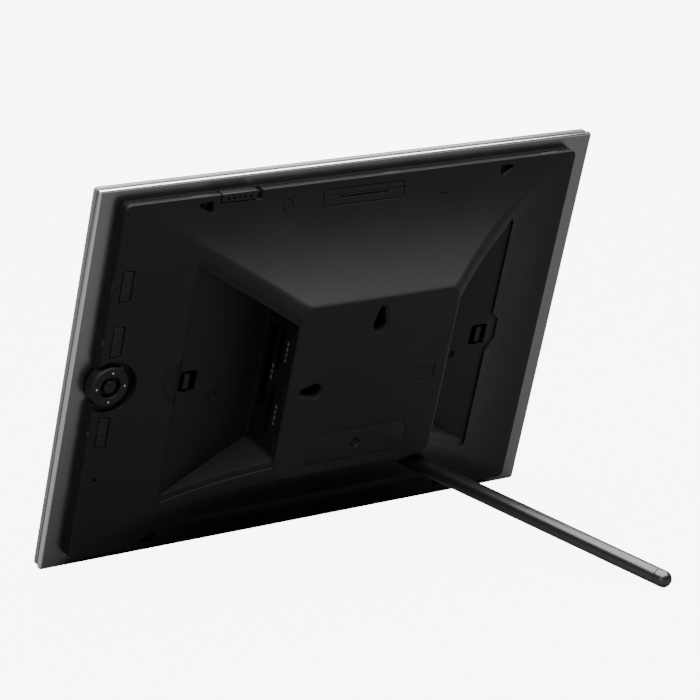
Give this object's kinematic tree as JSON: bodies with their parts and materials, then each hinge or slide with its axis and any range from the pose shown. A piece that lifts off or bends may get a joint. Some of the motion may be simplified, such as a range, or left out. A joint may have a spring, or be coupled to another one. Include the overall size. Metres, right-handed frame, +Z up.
{
  "type": "digital photo frame",
  "caption": "Digital photo frame with a flared rear cover, rear keys, card slots, keyholes and a screw-in leg that props it up.",
  "frame": {"origin": "middle of the standing frame's box, on the surface it stands on", "axes": "+X along the frame's width, towards the key column; +Y out of the back, towards the leg's foot; +Z up. The picture faces -Y and leans back 17.4 degrees"},
  "size_m": [0.2856, 0.2048, 0.1883],
  "materials": {
    "clear_sheet": "polished acrylic",
    "black_print": "printed film",
    "foam": "closed foam",
    "bezel_metal": "satin anodised",
    "display_glass": "switched-off display",
    "light_guide": "milky sheet",
    "sheet_steel": "plated sheet",
    "board": "solder mask",
    "brass": "turned",
    "screw_steel": "plated",
    "chip_plastic": "moulded",
    "socket_metal": "tinned",
    "cover_plastic": "fine grain",
    "key_plastic": "fine grain",
    "lamp": "diffusing light pipe",
    "leg_metal": "satin anodised",
    "foot_rubber": "firm rubber",
    "magnet": "nickel plated",
    "ribbon": "flexible print"
  },
  "bodies": {
    "frame": {"front_panel": "clear_sheet", "front_mask": "black_print", "panel_gasket": "foam", "bezel_frame": "bezel_metal", "lcd_panel": "display_glass", "lcd_backlight": "light_guide", "lcd_chassis": "sheet_steel", "lcd_brackets": "sheet_steel", "main_board": "board", "board_posts": "brass", "board_screws": "screw_steel", "shield_can": "sheet_steel", "board_chips": "chip_plastic", "cf_socket": "chip_plastic", "card_board": "board", "card_board_spacers": "brass", "sd_socket_upper": "socket_metal", "sd_socket_lower": "socket_metal", "card_slot_insert": "chip_plastic", "access_lamps": "lamp", "port_insert": "chip_plastic", "dc_inlet": "chip_plastic", "usb_socket": "socket_metal", "mini_usb_socket": "socket_metal", "coin_cell": "socket_metal", "speaker": "chip_plastic", "ribbon_cable": "ribbon", "button_board": "board", "button_domes": "socket_metal", "top_board": "board", "power_switch": "socket_metal", "rear_cover": "cover_plastic", "keyhole_plates": "sheet_steel", "access_door": "cover_plastic", "door_screw": "screw_steel", "cover_screws": "screw_steel", "cover_latches": "key_plastic", "round_plug": "key_plastic", "import_trim": "key_plastic", "leg_socket": "brass", "leg_magnets": "magnet"},
    "leg": {"leg_rod": "leg_metal", "leg_stud": "screw_steel", "leg_foot": "foot_rubber"},
    "slider": {"power_slider": "key_plastic"},
    "import_key": {"import_button": "key_plastic"},
    "upper_key": {"side_button_upper": "key_plastic"},
    "middle_key": {"side_button_middle": "key_plastic"},
    "lower_key": {"side_button_lower": "key_plastic"},
    "pad_gimbal": {"pad_pivot": "key_plastic"},
    "pad": {"pad_ring": "key_plastic"},
    "centre_key": {"pad_centre_button": "key_plastic"}
  },
  "joints": [
    {"name": "leg_unscrew", "type": "slide", "parent": "frame", "child": "leg", "axis": [-0.1721, 0.9682, -0.1817], "range_m": [0, 0.012]},
    {"name": "power_slide", "type": "slide", "parent": "frame", "child": "slider", "axis": [-1, 0, 0], "range_m": [0, 0.0028]},
    {"name": "import_press", "type": "slide", "parent": "frame", "child": "import_key", "axis": [0, -0.9542, 0.299], "range_m": [0, 0.0006], "stiffness_N_per_m": 900, "springref_m": -0.0004},
    {"name": "upper_press", "type": "slide", "parent": "frame", "child": "upper_key", "axis": [0, -0.9542, 0.299], "range_m": [0, 0.0006], "stiffness_N_per_m": 900, "springref_m": -0.0004},
    {"name": "middle_press", "type": "slide", "parent": "frame", "child": "middle_key", "axis": [0, -0.9542, 0.299], "range_m": [0, 0.0006], "stiffness_N_per_m": 900, "springref_m": -0.0004},
    {"name": "lower_press", "type": "slide", "parent": "frame", "child": "lower_key", "axis": [0, -0.9542, 0.299], "range_m": [0, 0.0006], "stiffness_N_per_m": 900, "springref_m": -0.0004},
    {"name": "pad_up_down", "type": "hinge", "parent": "frame", "child": "pad_gimbal", "pos_m": [0.1239, -0.06459, 0.09201], "axis": [1, 0, 0], "range_deg": [-2, 2], "stiffness_Nm_per_rad": 0.25},
    {"name": "pad_side_to_side", "type": "hinge", "parent": "pad_gimbal", "child": "pad", "pos_m": [0.1239, -0.06459, 0.09201], "axis": [0, 0.299, 0.9542], "range_deg": [-2, 2], "stiffness_Nm_per_rad": 0.25},
    {"name": "centre_press", "type": "slide", "parent": "frame", "child": "centre_key", "axis": [0, -0.9542, 0.299], "range_m": [0, 0.0006], "stiffness_N_per_m": 900, "springref_m": -0.0004}
  ]
}
